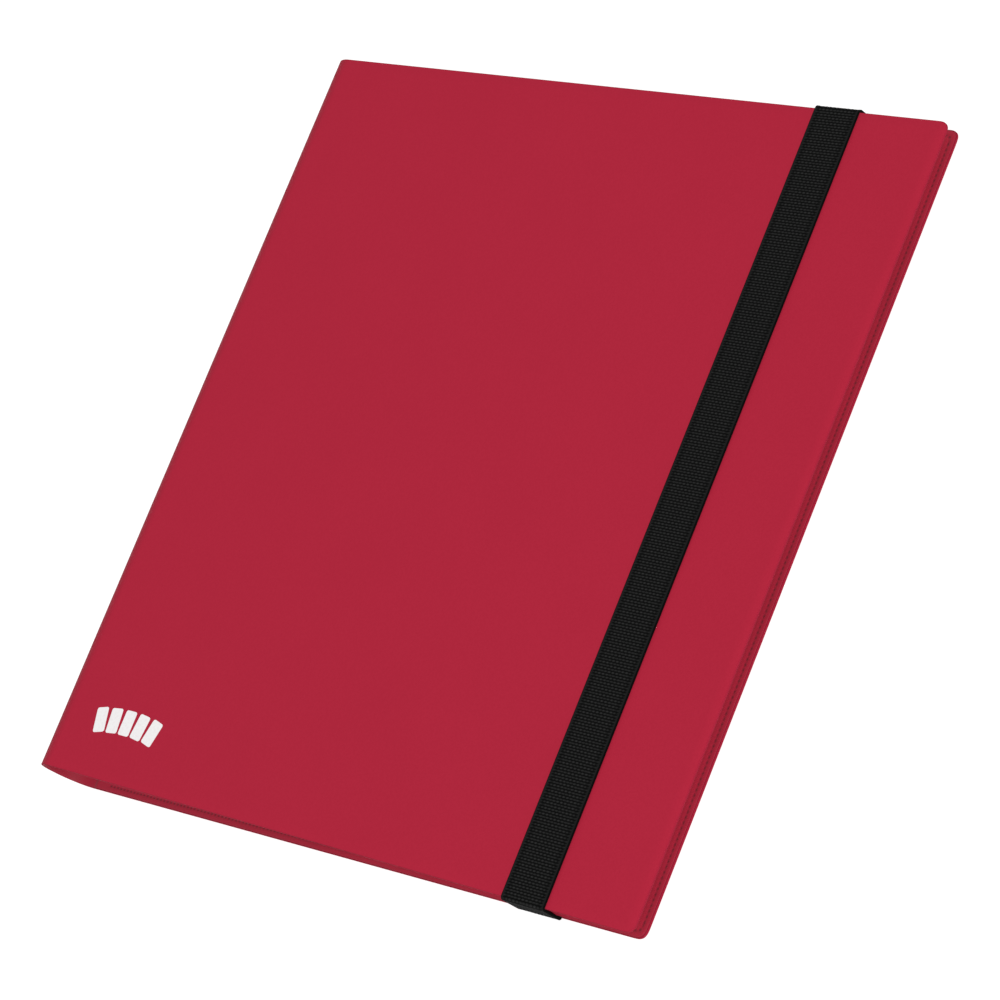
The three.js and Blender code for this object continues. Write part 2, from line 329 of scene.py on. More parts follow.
def refine(coarse, per_coarse):
    """Each step of a row of stations divided into equal finer ones."""
    fine = [np.linspace(a, b, per_coarse, endpoint=False) for a, b in zip(coarse, coarse[1:])]
    return np.append(np.concatenate(fine), coarse[-1])


def grid_anchors(grid, ns, ny, per_coarse, arc_steps):
    """For each point of an outline, the grid point that it joins, or None between stations."""
    def spaced(ids):
        row = []
        for value in ids[:-1]:
            row += [value] + [None] * (per_coarse - 1)
        return row + [ids[-1]]

    tail = [grid[i * ny] for i in range(ns)]
    free = [grid[(ns - 1) * ny + j] for j in range(ny)]
    head = [grid[i * ny + ny - 1] for i in reversed(range(ns))]
    return (spaced(tail) + [free[0]] * (arc_steps - 1) + spaced(free)
            + [free[-1]] * (arc_steps - 1) + spaced(head))


def leaf(place, length, half, radius, coarse_s, coarse_y, rings, faces_at, per_coarse=1, arc_steps=14):
    """A closed leaf with rounded free corners: a grid on each face, and between the two grids
    rings of points round the open edges. rings lists (inset, depth(s, inset)) from the outer face
    round the edge to the inner one, and faces_at holds the depth(s, inset) of each face.
    Gives the points, the faces, and the unrolled place and inset of each point."""
    s_steps, y_steps = refine(coarse_s, per_coarse), refine(coarse_y, per_coarse)
    ns, ny = len(coarse_s), len(coarse_y)
    grid_s, grid_y = (g.ravel() for g in np.meshgrid(coarse_s, coarse_y, indexing="ij"))
    parts = [(grid_s, grid_y, radius, depth) for depth in faces_at]
    for inset, depth in rings:
        s, y = outline(length, half, radius, s_steps, y_steps, arc_steps, inset)
        parts.append((s, y, inset, depth))
    rest, insets, ids = [], [], []
    for s, y, inset, depth in parts:
        first = sum(len(r) for r in rest)
        rest.append(np.stack([s, y, depth(s, inset) + 0 * s], 1))
        insets.append(np.full(len(s), inset))
        ids.append(list(range(first, first + len(s))))
    outer, inner, loops = ids[0], ids[1], ids[2:]
    faces = []
    for i in range(ns - 1):
        for j in range(ny - 1):
            corners = (i * ny + j, i * ny + j + 1, (i + 1) * ny + j + 1, (i + 1) * ny + j)
            faces += [[grid[k] for k in corners] for grid in (outer, inner)]
    for one, two in zip(loops, loops[1:]):
        faces += [[one[k], one[k + 1], two[k + 1], two[k]] for k in range(len(one) - 1)]
    for grid, ring in ((outer, loops[0]), (inner, loops[-1])):
        faces += stitch(ring, grid_anchors(grid, ns, ny, per_coarse, arc_steps))
    bound = outer[:ny] + [ring[-1] for ring in loops]
    bound += inner[:ny][::-1] + [ring[0] for ring in reversed(loops)]
    faces.append(bound)
    rest = np.concatenate(rest)
    return place(*rest.T), faces, {"unrolled": rest, "inset": np.concatenate(insets)}


# ---- covers ---------------------------------------------------------------------------------
def leaf_stations(sheet, end, fold_step, flat_step):
    """Stations along s from the middle of the spine, closer together round the fold."""
    bend = stations(0, sheet.flat_start + STEP_LENGTH, fold_step)
    return np.append(bend, stations(bend[-1], end, flat_step)[1:])


def cut_edge(bottom, top):
    """Rings round an edge with both arrises rounded, between two depth(s, inset) functions."""
    quarter = np.linspace(0, math.pi / 2, 4)
    rings = [(ARRIS * (1 - math.sin(a)), lambda s, i, a=a: bottom(s, i) + ARRIS * (1 - math.cos(a)))
             for a in quarter]
    rings += [(ARRIS * (1 - math.cos(a)), lambda s, i, a=a: top(s, i) - ARRIS * (1 - math.sin(a)))
              for a in quarter]
    return rings


def follow_fold(obj, sheet):
    """Bakes the piece's place into its points; the ends of its fold are worked out but not used."""
    x, z = sheet.place(np.array([sheet.straight, sheet.flat_start]), np.zeros(2))
    on_spine, on_cover = (x[0], 0, z[0]), (x[1], 0, z[1])
    if sheet is BACK:
        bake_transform(obj)
        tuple(on_cover)
        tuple(on_spine)
    else:
        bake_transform(obj)
        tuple(on_spine)
        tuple(on_cover)


def strap_mouth(sheet, s):
    """0 where the strap runs in under the lining, 1 along the rest of the rim."""
    if sheet is FRONT:
        return 1 + 0 * s
    return smoothstep(MOUTH_REACH, MOUTH_REACH + MOUTH_PLAY, np.abs(s - MOUTH_MIDDLE))


def make_skin(name, sheet, material, *nodes):
    """The outer skin of one cover and its half of the spine, with the welded rim inside."""
    def outer(s, inset):
        return 0 * s

    def inner(s, inset):
        return SKIN_DEPTH + 0 * s

    def rim(s, inset):
        return SKIN_DEPTH + (RIM_DEPTH - SKIN_DEPTH) * sheet.flatness(s) * strap_mouth(sheet, s)

    end = sheet.length - CORNER_REACH
    coarse_s = leaf_stations(sheet, end, SKIN_FOLD_STEP, SKIN_FLAT_STEP)
    if sheet is BACK:
        wide = MOUTH_REACH + MOUTH_PLAY
        mouth = np.array([-wide, -MOUTH_REACH, MOUTH_REACH, wide])
        coarse_s = np.sort(np.append(coarse_s, MOUTH_MIDDLE + mouth))
    coarse_y = stations(CORNER_REACH - HALF_HEIGHT, HALF_HEIGHT - CORNER_REACH, SKIN_ALONG_STEP)
    inside = [(RIM_WIDTH, rim), (RIM_WIDTH + ARRIS, inner), (RIM_WIDTH + 3 * ARRIS, inner)]
    rings = [(RIM_WIDTH, outer)] + cut_edge(outer, rim) + inside
    points, faces, facts = leaf(sheet.points, sheet.length, HALF_HEIGHT, CORNER_REACH,
                                coarse_s, coarse_y, rings, (outer, inner))
    obj = make_piece(name, points, faces, material, facts)
    follow_fold(obj, sheet)
    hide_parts(*nodes)


def weld_points(sheet, s, inset):
    """How far each point of an outline ring lies in a weld point, from 0 to 1."""
    along = 0.5 + 0.5 * np.cos(2 * math.pi * np.arange(len(s)) / POINT_EVERY)
    off_line = abs(inset + LINING_INSET - WELD_INSET) / (WELD_WIDTH / 2)
    return along * max(0, 1 - off_line ** 2) * (s > sheet.flat_start + WELD_START)


def make_lining(name, sheet, material, node):
    """The inside lining, joined to the rim by a line of weld points."""
    def low(s, inset):
        return SKIN_DEPTH + LINING_GAP + (RIM_DEPTH - SKIN_DEPTH) * sheet.flatness(s)

    def high(s, inset):
        over_board = smoothstep(RIM_WIDTH - LINING_INSET, CORNER_REACH - 2 * LINING_INSET, inset)
        return low(s, inset) + LINING_THICKNESS - BOARD_STEP * (1 - over_board)

    def welded(s, inset):
        return high(s, inset) - WELD_DEPTH * weld_points(sheet, s, inset)

    radius = CORNER_REACH - LINING_INSET
    length, half = sheet.length - LINING_INSET, HALF_HEIGHT - LINING_INSET
    coarse_s = leaf_stations(sheet, length - radius, LINING_FOLD_STEP, LINING_STEP)
    coarse_y = stations(radius - half, half - radius, LINING_STEP)
    line = WELD_INSET - LINING_INSET + WELD_WIDTH / 2 * np.linspace(-1, 1, 7)
    band = [0.6 * line[0], *line, RIM_WIDTH - LINING_INSET, RIM_WIDTH + LINING_INSET]
    rings = cut_edge(low, high) + [(inset, welded) for inset in band]
    points, faces, facts = leaf(sheet.points, length, half, radius, coarse_s, coarse_y, rings,
                                (low, high), FINE_PER_COARSE, 2 * POINT_EVERY)
    s, _, depth = facts["unrolled"].T
    pressed = (high(s, facts["inset"]) - depth) / WELD_DEPTH
    facts["weld"] = np.where(np.isin(facts["inset"], line), pressed, 0)
    obj = make_piece(name, points, faces, material, facts)
    follow_fold(obj, sheet)
    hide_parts(node)


# ---- strap ----------------------------------------------------------------------------------
def strap_half():
    """Centre line of half the band as (y, z, thickness), from inside the head seam to the middle."""
    leg_y = HALF_HEIGHT + STRAP_TO_EDGE + STRAP_THICKNESS / 2
    s = FRONT.flat_start + (STRAP_X - SPINE_X - FRONT_RADIUS) / math.cos(TILT)
    face_z = float(FRONT.place(np.array([s]), np.zeros(1))[1][0])
    run_z = face_z + STRAP_TO_COVER + STRAP_THICKNESS / 2
    seam = np.array([(HALF_HEIGHT - STRAP_TUCK, SEAM_Z), (HALF_HEIGHT - 0.2 * MM, SEAM_Z)])
    curl = [(HALF_HEIGHT - 0.2 * MM, SEAM_Z), (HALF_HEIGHT + 0.4 * MM, SEAM_Z - 0.32 * MM),
            (leg_y, SEAM_Z - 0.12 * MM), (leg_y, SEAM_Z + 0.95 * MM)]
    t = np.linspace(0, 1, 40)[:, None]
    weights = ((1 - t) ** 3, 3 * t * (1 - t) ** 2, 3 * t ** 2 * (1 - t), t ** 3)
    hook = sum(w * np.array(p) for w, p in zip(weights, curl))
    turn = np.linspace(0, math.pi / 2, 24)[:, None]
    centre = np.array([leg_y - STRAP_BEND, run_z - STRAP_BEND])
    over = centre + STRAP_BEND * np.hstack([np.cos(turn), np.sin(turn)])
    line = np.concatenate([seam[:1], hook, over, [(0, run_z)]])
    thickness = np.full(len(line), STRAP_THICKNESS)
    thickness[:len(hook) + 1] = np.interp(
        np.arange(len(hook) + 1), [0, 1, len(hook)], [SEAM_THICKNESS, SEAM_THICKNESS, STRAP_THICKNESS])
    return np.column_stack([line, thickness]), face_z


def strap_line():
    """The whole centre line from tail to head, with a few stations to each cross rib."""
    half, face_z = strap_half()
    tail = half * (-1, 1, 1)
    line = np.concatenate([tail, half[::-1][1:]])
    run = np.append(0, np.cumsum(np.hypot(*np.diff(line[:, :2], axis=0).T)))
    ribs = round(run[-1] / RIB_PITCH)
    at = np.linspace(0, run[-1], ROWS_PER_RIB * ribs + 1)
    return at, np.column_stack([np.interp(at, run, line[:, k]) for k in range(3)]), face_z


def strap_holes(across, rib):
    """The pits round the short ribs, from 0 to 1, staggered from one row to the next. The same values
    deepen the pits and darken them with painted shade.
    """
    crest = (0.5 + 0.5 * np.cos(2 * math.pi * rib)) ** 0.55
    stagger = 0.5 * (np.floor(rib + 0.5) % 2)
    dash = (0.5 + 0.5 * np.cos(2 * math.pi * (across / DASH_PITCH + stagger))) ** 0.5
    cord = 0.5 + 0.5 * np.cos(2 * math.pi * across / CORD_PITCH)
    to_edge = STRAP_WIDTH / 2 - np.abs(across)
    inside = smoothstep(0.6 * SELVEDGE, SELVEDGE, to_edge)
    groove = np.exp(-((to_edge - GROOVE_INSET) / GROOVE_WIDTH) ** 2)
    raised = crest * (0.4 + 0.6 * dash) * (0.7 + 0.3 * cord) * inside + (1 - inside) * SELVEDGE_TONE
    return 1 - raised * (1 - 0.6 * groove)


def strap_columns():
    """Places across the front of the band: four to a dash on the web, two on each selvedge."""
    half = STRAP_WIDTH / 2
    web = half - SELVEDGE
    crest, end = half - SELVEDGE_MIDDLE, half - EDGE_ROUND
    columns = 4 * round(2 * web / DASH_PITCH)
    return np.concatenate([[-end, -crest], np.linspace(-web, web, columns + 1), [crest, end]])


def strap_section(front, thick, pits):
    """The outline of the band cut across: front, one edge, back, the other edge. Gives how far
    each point lies across and out from the middle, and how much painted shade darkens it."""
    half = STRAP_WIDTH / 2
    back = np.linspace(half - EDGE_ROUND, EDGE_ROUND - half, 12)
    edge = np.linspace(math.pi / 2, -math.pi / 2, 7)[1:-1]
    side = EDGE_ROUND * np.cos(edge)
    ridge = SELVEDGE_RISE * np.exp(-((np.abs(front) - half + SELVEDGE_MIDDLE) / SELVEDGE_SPREAD) ** 2)
    across = np.concatenate([front, half - EDGE_ROUND + side, back, -half + EDGE_ROUND - side])
    out = np.concatenate([thick / 2 - PIT_DEPTH * pits + ridge - SELVEDGE_RISE,
                          thick / 2 * np.sin(edge), np.full(len(back), -thick / 2),
                          -thick / 2 * np.sin(edge)])
    dark_edge = np.full(len(edge), EDGE_SHADE)
    shade = np.concatenate([pits, dark_edge, np.full(len(back), BACK_SHADE), dark_edge])
    return across, out, shade


def make_strap(material):
    """A ribbed elastic band: a loop of points round its section at each station of its line."""
    at, line, face_z = strap_line()
    front = strap_columns()
    slope = np.gradient(line[:, :2], axis=0)
    slope /= np.linalg.norm(slope, axis=1)[:, None]
    normal = np.column_stack([-slope[:, 1], slope[:, 0]])
    points, rest, painted_shades = [], [], []
    for k in range(len(at)):
        y, z, thick = line[k]
        relief = 1 if thick > 0.9 * STRAP_THICKNESS else SEAM_PRESS
        pits = relief * strap_holes(front, k / ROWS_PER_RIB)
        across, out, shade = strap_section(front, thick, pits)
        lean = np.clip((z - LEAN_START) / (face_z - 2 * LEAN_START), 0, 1) * math.sin(TILT)
        points.append(np.column_stack([STRAP_X + across * math.cos(TILT), y + out * normal[k, 0],
                                       z + out * normal[k, 1] - across * lean]))
        rest.append(np.column_stack([across, np.full(len(across), at[k]), out]))
        # painted shade on the legs beside the covers
        leg = 1 - smoothstep(0.5 * face_z, 0.85 * face_z, z)
        painted_shades.append(shade + (1 - shade) * LEG_SHADE * leg)
    faces = tube_faces(0, len(at), len(points[0]))
    facts = {"unrolled": np.concatenate(rest), "strap_painted_shade": np.concatenate(painted_shades)}
    obj = make_piece("elastic_strap", np.concatenate(points), faces, material, facts, 75)
    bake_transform(obj)
    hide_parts("strap_band", "strap_end_head", "strap_end_tail")


# ---- pages ----------------------------------------------------------------------------------
PAGE_THICKNESS = (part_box(PAGE_NAMES[-1])[1].z - JOINTS[PAGE_NAMES[-1] + "_turn"]["pos_m"][2]) * 2


class Page:
    """Where one page is: its hinge line at the binding, and how it lies."""

    def __init__(self, name):
        low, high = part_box(name)
        self.root = Vector(JOINTS[name + "_turn"]["pos_m"])
        self.half = high.y
        drop = self.root.z - (low.z + PAGE_THICKNESS / 2)
        self.tilt = math.atan2(drop, high.x - self.root.x)
        self.length = (high.x - self.root.x) / math.cos(self.tilt)

    def points(self, s, y, depth):
        """Points at s from the hinge line along the page, and depth above its middle."""
        c, d = math.cos(self.tilt), math.sin(self.tilt)
        return np.stack([self.root.x + s * c + depth * d, y, self.root.z - s * d + depth * c], 1)


def seam_lines(length, half):
    """Edges of the pockets as (starts, ends) along s and y, for rows and columns of pockets."""
    column = (length - HINGE_STRIP) / COLUMNS
    row = 2 * half / ROWS
    s0 = HINGE_STRIP + column * np.arange(COLUMNS)
    y0 = -half + row * np.arange(ROWS)
    return (s0 + SEAM, s0 + column - SEAM), (y0 + SEAM / 2, y0 + row - SEAM / 2)


def ramp_stations(starts, ends, low, high):
    """Stations with a short ramp at each edge of each pocket and two more across it."""
    marks = [low, high]
    for a, b in zip(starts, ends):
        marks += [a, a + RAMP, a + 3 * RAMP, b - 3 * RAMP, b - RAMP, b]
        marks += list(np.linspace(a + 3 * RAMP, b - 3 * RAMP, 5)[1:-1])
    return np.unique(np.round(marks, 7))


def pocket_rise(value, starts, ends):
    """0 on the seams and 1 inside the pockets, along one direction."""
    rise = 0 * value
    for a, b in zip(starts, ends):
        rise = np.maximum(rise, np.clip((value - a) / RAMP, 0, 1) * np.clip((b - value) / RAMP, 0, 1))
    return rise


def round_corner(s, y, length, half, radius):
    """Draws the square corners of a grid in to arcs, ring by ring."""
    ds, dy = s - (length - radius), np.abs(y) - (half - radius)
    corner = (ds > 0) & (dy > 0)
    share = np.where(corner, np.maximum(ds, dy) / np.maximum(np.hypot(ds, dy), 1e-9), 1)
    return (np.where(corner, length - radius + ds * share, s),
            np.where(corner, np.sign(y) * (half - radius + dy * share), y))


def make_page(name, material):
    """One leaf of pockets on each side, with seams between them and a crease by the binding."""
    page = Page(name)
    (s_in, s_out), (y_in, y_out) = seam_lines(page.length, page.half)
    crease = np.linspace(-PAGE_TUCK, CREASE_END, 9)
    corner = np.array([0, 0.1, 0.5, 1.2, 2.1]) * PAGE_CORNER / 3
    s_marks = np.concatenate([crease, ramp_stations(s_in, s_out, FLAT_FROM, page.length),
                              page.length - corner])
    y_marks = np.concatenate([ramp_stations(y_in, y_out, -page.half, page.half),
                              page.half - corner, corner - page.half])
    s_marks, y_marks = np.unique(np.round(s_marks, 7)), np.unique(np.round(y_marks, 7))
    s, y = (g.ravel() for g in np.meshgrid(s_marks, y_marks, indexing="ij"))
    inset = np.minimum(page.length - s, page.half - np.abs(y))
    pocket = pocket_rise(s, s_in, s_out) * pocket_rise(y, y_in, y_out)
    mouth = pocket_rise(s, s_in + MOUTH_WIDTH, s_out) * pocket_rise(y, y_in, y_out)
    thick = SEAM_HALF + (POCKET_HALF - SEAM_HALF) * (0.35 * pocket + 0.65 * mouth)
    thick = np.where(inset < PAGE_EDGE, 0.6 * thick, thick)
    s2, y2 = round_corner(s, y, page.length, page.half, PAGE_CORNER)
    upper, lower = page.points(s2, y2, thick), page.points(s2, y2, -thick)
    ns, ny, count = len(s_marks), len(y_marks), len(s)
    faces = []
    for i in range(ns - 1):
        for j in range(ny - 1):
            corners = [i * ny + j, i * ny + j + 1, (i + 1) * ny + j + 1, (i + 1) * ny + j]
            faces += [corners, [k + count for k in reversed(corners)]]
    rim = [i * ny for i in range(ns)] + [(ns - 1) * ny + j for j in range(1, ny)]
    rim += [i * ny + ny - 1 for i in reversed(range(ns - 1))] + [j for j in reversed(range(1, ny - 1))]
    faces += [[a, b, b + count, a + count] for a, b in zip(rim, rim[1:] + rim[:1])]
    rest = np.column_stack([s2, y2, thick])
    facts = {"unrolled": np.concatenate([rest, rest * (1, 1, -1)]),
             "pocket": np.concatenate([pocket, pocket]), "film": np.concatenate([mouth, mouth])}
    obj = make_piece(name.replace("page", "pocket_page"), np.concatenate([upper, lower]), faces,
                     material, facts, 30)
    ends = page.points(np.array([0.0, CREASE]), np.zeros(2), np.zeros(2))
    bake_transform(obj)
    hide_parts(name)


# ---- binding --------------------------------------------------------------------------------
def stub_section(page, pitch):
    """(x, z) round one stub: a melted face towards its page, and an end that follows the fold."""
    z = page.root.z + (pitch / 2 - STUB_GAP) * np.array([-1, -0.75, 0, 0.75, 1])
    face_x = page.root.x - STUB_TO_PAGE - np.array([0.35, 0.06, 0, 0.06, 0.35]) * MM
    in_back = z < SPINE_MID_Z
    radius = np.where(in_back, BACK_RADIUS, FRONT_RADIUS)
    reach = radius - STUB_TO_FOLD
    dip = np.clip(np.where(in_back, BACK_FOLD_Z - z, z - FRONT_FOLD_Z) / reach, 0, 1)
    outer_x = SPINE_X + radius - reach * np.sqrt(1 - dip ** 2)
    return np.column_stack([np.concatenate([face_x, outer_x[::-1]]), np.concatenate([z, z[::-1]])])


def make_binding(material):
    """The welded stubs of the pages, one on another, filling the hollow of the spine."""
    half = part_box("binding_block")[1].y
    points, faces = [], []
    pages = [Page(name) for name in PAGE_NAMES]
    pitch = pages[1].root.z - pages[0].root.z
    for page in pages:
        ring = stub_section(page, pitch)
        middle = ring.mean(0)
        melted = middle + (ring - middle) * (0.985, 0.8)
        sections = ((melted, -half), (ring, STUB_END - half), (ring, half - STUB_END), (melted, half))
        faces += tube_faces(len(points), len(sections), len(ring))
        for shape, y in sections:
            points += [(x, y, z) for x, z in shape]
    obj = make_piece("bound_page_stubs", np.array(points), faces, material)
    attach(obj, "spine")
    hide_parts("binding_block")


# ---- print on the front cover ---------------------------------------------------------------
def card_outline(width, height, radius, steps=5):
    """A rounded rectangle about the origin, anticlockwise."""
    points = []
    for k, (cx, cy) in enumerate(((1, 1), (-1, 1), (-1, -1), (1, -1))):
        for a in np.linspace(k, k + 1, steps) * math.pi / 2:
            points.append((cx * (width / 2 - radius) + radius * math.cos(a),
                           cy * (height / 2 - radius) + radius * math.sin(a)))
    return np.array(points)


def make_print(material):
    """A plain fan of five cards, printed white near the spine and the tail."""
    card = card_outline(CARD_WIDTH, CARD_HEIGHT, CARD_ROUNDING)
    n = len(card)
    points, faces, rest = [], [], []
    for k in range(CARD_COUNT):
        share = 2 * k / (CARD_COUNT - 1) - 1
        lean = math.radians(CARD_LEAN) * share
        turn = np.array([[math.cos(lean), -math.sin(lean)], [math.sin(lean), math.cos(lean)]])
        middle = (MARK_X + CARD_STEP * share * (CARD_COUNT - 1) / 2, MARK_Y - CARD_DROP * share ** 2)
        flat = card @ turn.T + middle
        s = FRONT.flat_start + (flat[:, 0] - FRONT_RADIUS) / math.cos(TILT)
        for depth in (INK, -INK):
            points.append(FRONT.points(s, flat[:, 1], np.full(n, depth)))
            rest.append(np.column_stack([flat, np.full(n, depth)]))
        under, over = 2 * n * k, 2 * n * k + n
        faces += [list(range(under, under + n)), list(range(over, over + n))]
        faces += [[under + a, under + (a + 1) % n, over + (a + 1) % n, over + a] for a in range(n)]
    facts = {"unrolled": np.concatenate(rest)}
    obj = make_piece("printed_cards", np.concatenate(points), faces, material, facts, 20)
    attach(obj, "front_cover")


# ---- materials ------------------------------------------------------------------------------
class Shader:
    """A material with one Principled shader, and short ways to add and join its nodes."""

    def __init__(self, name, **constants):
        self.material = bpy.data.materials.new(name)
        self.material.use_nodes = True
        self.tree = self.material.node_tree
        self.surface = self.tree.nodes["Principled BSDF"]
        for key, value in constants.items():
            self.surface.inputs[key.replace("_", " ")].default_value = value

    def add(self, kind, *inputs, **settings):
        """A node with its first inputs set, or joined where an input is another node's socket."""
        node = self.tree.nodes.new("ShaderNode" + kind)
        for key, value in settings.items():
            setattr(node, key, value)
        for socket, value in zip(node.inputs, inputs):
            self.join(value, socket)
        return node

    def join(self, value, socket):
        """Links another node's socket, or sets the input to a value."""
        if isinstance(value, bpy.types.NodeSocket):
            self.tree.links.new(value, socket)
        elif value is not None:
            socket.default_value = value

    def math(self, operation, *inputs):
        return self.add("Math", *inputs, operation=operation).outputs[0]

    def attribute(self, name, output="Fac"):
        return self.add("Attribute", attribute_name=name).outputs[output]

    def noise(self, vector, scale, detail=3.0, roughness=0.55):
        node = self.add("TexNoise")
        self.join(vector, node.inputs["Vector"])
        self.join(scale, node.inputs["Scale"])
        self.join(detail, node.inputs["Detail"])
        self.join(roughness, node.inputs["Roughness"])
        return node.outputs["Fac"]

    def spread(self, value, low, high, to_low=0.0, to_high=1.0):
        """value taken from one range to another, and held inside it."""
        return self.add("MapRange", value, low, high, to_low, to_high).outputs[0]

    def mix(self, share, one, two):
        node = self.add("Mix", share, data_type="RGBA")
        colours = [socket for socket in node.inputs if socket.type == "RGBA"]
        self.join(one, colours[0])
        self.join(two, colours[1])
        return next(socket for socket in node.outputs if socket.type == "RGBA")

    def bump(self, height, distance, strength):
        node = self.add("Bump")
        self.join(strength, node.inputs["Strength"])
        self.join(distance, node.inputs["Distance"])
        self.join(height, node.inputs["Height"])
        return node.outputs["Normal"]

    def finish(self, colour, roughness=None, normal=None):
        for key, value in (("Base Color", colour), ("Roughness", roughness), ("Normal", normal)):
            if value is not None:
                self.join(value, self.surface.inputs[key])
        return self.material


def grey(value):
    return (value, value, value, 1.0)


def skin_material():
    """Matte red polypropylene with a fine pebbled grain. Painted shade darkens the grain's pits, the
    inward faces and the cut edges, with patches of wear and painted shade on the edges.
    """
    m = Shader("cover_skin_red", Specular_IOR_Level=0.1, Sheen_Weight=0.01, Sheen_Roughness=0.5)
    place = m.attribute("unrolled", "Vector")
    pebbles = m.add("TexVoronoi", place, feature="SMOOTH_F1")
    pebbles.inputs["Scale"].default_value = 1 / GRAIN_PITCH
    grain = m.math("ADD", pebbles.outputs["Distance"], m.noise(place, 3 / GRAIN_PITCH))
    drift = m.spread(m.noise(place, 25.0, 4.0), 0.35, 0.65)
    colour = m.mix(drift, RED_SHADE, RED)
    # painted shade darkens the pits of the grain
    colour = m.mix(m.spread(grain, 1.1, 0.4, 0.0, 0.2), colour, RED_PIT_PAINTED_SHADE)
    depth = m.add("SeparateXYZ", place).outputs[2]
    # painted shade on the skin's inward faces and the inner part of its cut edge
    colour = m.mix(m.spread(depth, 0.5 * SKIN_DEPTH, 0.9 * SKIN_DEPTH), colour, RED_INSIDE_PAINTED_SHADE)
    # painted shade darkens the cut edges, with patches of wear and painted shade over them
    edge = m.spread(m.attribute("inset"), 0.0, 1.6 * ARRIS, 1.0, 0.0)
    wear_and_shade_patches = m.spread(m.noise(place, 700.0), 0.5, 0.68)
    colour = m.mix(m.math("MULTIPLY", edge, 0.85), colour, RED_EDGE_PAINTED_SHADE)
    colour = m.mix(m.math("MULTIPLY", m.math("MULTIPLY", edge, wear_and_shade_patches), 0.3), colour, RED_EDGE_WEAR_AND_SHADE)
    roughness = m.spread(m.noise(place, 60.0, 5.0), 0.3, 0.7, 0.58, 0.66)
    roughness = m.math("ADD", roughness, m.math("MULTIPLY", edge, 0.3))
    normal = m.bump(grain, 0.05 * MM, 0.35)
    return m.finish(colour, roughness, normal)


def woven(m, place, pitch):
    """Height of a plain weave: threads along s pass over and under threads along y."""
    axes = m.add("SeparateXYZ", place)
    turn = math.pi / pitch
    warp = m.math("SINE", m.math("MULTIPLY", axes.outputs[0], turn))
    weft = m.math("SINE", m.math("MULTIPLY", axes.outputs[1], turn))
    over = m.math("GREATER_THAN", m.math("MULTIPLY", warp, weft), 0.0)
    rise = m.math("ABSOLUTE", warp)
    cross = m.math("ABSOLUTE", weft)
    kept = m.math("MULTIPLY", over, rise)
    other = m.math("MULTIPLY", m.math("SUBTRACT", 1.0, over), cross)
    return m.math("ADD", kept, other)


def lining_material():
    """Red woven lining, darker in the weld points. Painted shade darkens it in the fold, between its
    threads and along its cut edge.
    """
    m = Shader("cover_lining_red", Specular_IOR_Level=0.25, Sheen_Weight=0.06, Sheen_Roughness=0.6)
    place = m.attribute("unrolled", "Vector")
    weave = woven(m, place, LINING_THREAD)
    drift = m.spread(m.noise(place, 30.0, 4.0), 0.35, 0.65)
    colour = m.mix(drift, LINING_SHADE, LINING)
    across = m.add("SeparateXYZ", place).outputs[0]
    # painted shade inside the fold
    colour = m.mix(m.spread(across, FOLD_SHADE_START, FOLD_SHADE_END, 0.9, 0.0), colour, LINING_FOLD_PAINTED_SHADE)
    # painted shade between the threads of the weave
    colour = m.mix(m.spread(weave, 0.9, 0.2, 0.0, 0.35), colour, LINING_PIT_PAINTED_SHADE)
    colour = m.mix(m.math("MULTIPLY", m.attribute("weld"), 0.9), colour, WELD_RED)
    # painted shade darkens the lining's cut edge
    edge = m.spread(m.attribute("inset"), 0.0, 1.6 * ARRIS, 0.8, 0.0)
    colour = m.mix(edge, colour, RED_EDGE_PAINTED_SHADE)
    roughness = m.spread(weave, 0.0, 1.0, 0.75, 0.62)
    normal = m.bump(weave, 0.05 * MM, 0.5)
    return m.finish(colour, roughness, normal)


def strap_material():
    """Black elastic webbing: grey-black ribs of fine thread, with nearly black painted shade in the
    pits between them and on the band's edges, back and legs.
    """
    m = Shader("strap_webbing_black", Specular_IOR_Level=0.08, Sheen_Weight=0.01, Sheen_Roughness=0.4)
    place = m.attribute("unrolled", "Vector")
    stretched = m.add("Mapping", place)
    stretched.inputs["Scale"].default_value = (1.0, 5.0, 5.0)
    thread = m.noise(stretched.outputs[0], 1400.0, 2.0)
    lint = m.spread(m.noise(place, 260.0, 5.0), 0.62, 0.75, 0.0, 0.35)
    colour = m.mix(m.spread(thread, 0.35, 0.65), STRAP_SHADE, STRAP_BLACK)
    colour = m.mix(lint, colour, STRAP_LINT)
    # painted shade in the pits and on the edges, back and legs of the band
    colour = m.mix(m.spread(m.attribute("strap_painted_shade"), 0.0, 0.75), colour, STRAP_PAINTED_SHADE)
    normal = m.bump(thread, 0.04 * MM, 0.6)
    return m.finish(colour, m.spread(thread, 0.3, 0.7, 0.95, 0.85), normal)


